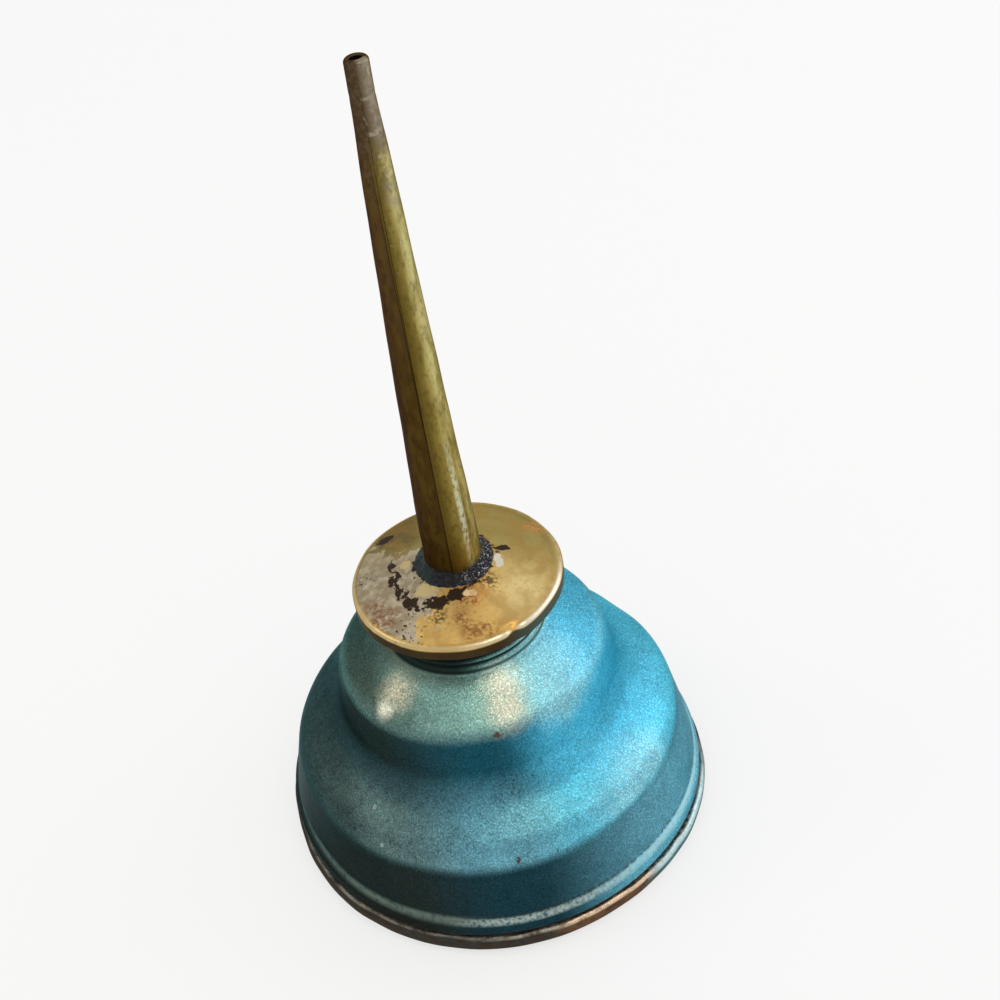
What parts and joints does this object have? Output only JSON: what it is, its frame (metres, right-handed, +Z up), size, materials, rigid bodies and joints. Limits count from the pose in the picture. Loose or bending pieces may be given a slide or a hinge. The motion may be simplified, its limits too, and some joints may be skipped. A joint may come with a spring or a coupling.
{
  "type": "bench oil can",
  "caption": "Oil can with a stepped bell body, a springy bottom that is pressed to pump, a screwed brass collar and a long tapered spout.",
  "frame": {"origin": "middle of the ring that the can stands on, at the plane of the table", "axes": "+Z up along the can and the spout, -Y towards the front of the can as it is seen in the picture, +X to the right of that view"},
  "size_m": [0.0838, 0.0838, 0.1608],
  "materials": {
    "can_body": "teal metallic lacquer, glossy, with fine scratches and small rust chips",
    "base_seam": "bare folded steel, dark and rust-brown",
    "bottom_diaphragm": "bare spring steel, dull",
    "neck_washer": "oil-soaked leather",
    "spout_collar": "worn brass with grey and rust-brown patches",
    "thread_sleeve": "plain rolled brass",
    "spout_tube": "dark olive tarnished brass",
    "solder_ring": "dark grey solder, lumpy"
  },
  "bodies": {
    "can": {"can_body": "can_body", "base_seam": "base_seam"},
    "bottom": {"bottom_diaphragm": "bottom_diaphragm"},
    "washer": {"neck_washer": "neck_washer"},
    "spout": {"spout_collar": "spout_collar", "thread_sleeve": "thread_sleeve", "spout_tube": "spout_tube", "solder_ring": "solder_ring"}
  },
  "joints": [
    {"name": "bottom_press", "type": "slide", "parent": "can", "child": "bottom", "axis": [0, 0, 1], "range_m": [0, 0.0024], "stiffness_N_per_m": 8000, "deforming": ["bottom_diaphragm"]},
    {"name": "collar_lift", "type": "slide", "parent": "can", "child": "washer", "axis": [0, 0, 1], "range_m": [0, 0.0061]},
    {"name": "collar_turn", "type": "hinge", "parent": "washer", "child": "spout", "pos_m": [0, 0, 0.0589], "axis": [0, 0, 1], "range_deg": [0, 1440]}
  ],
  "couplings": [
    {"joint": "collar_lift", "follows": "collar_turn", "m_per_rad": 0.00023873}
  ]
}
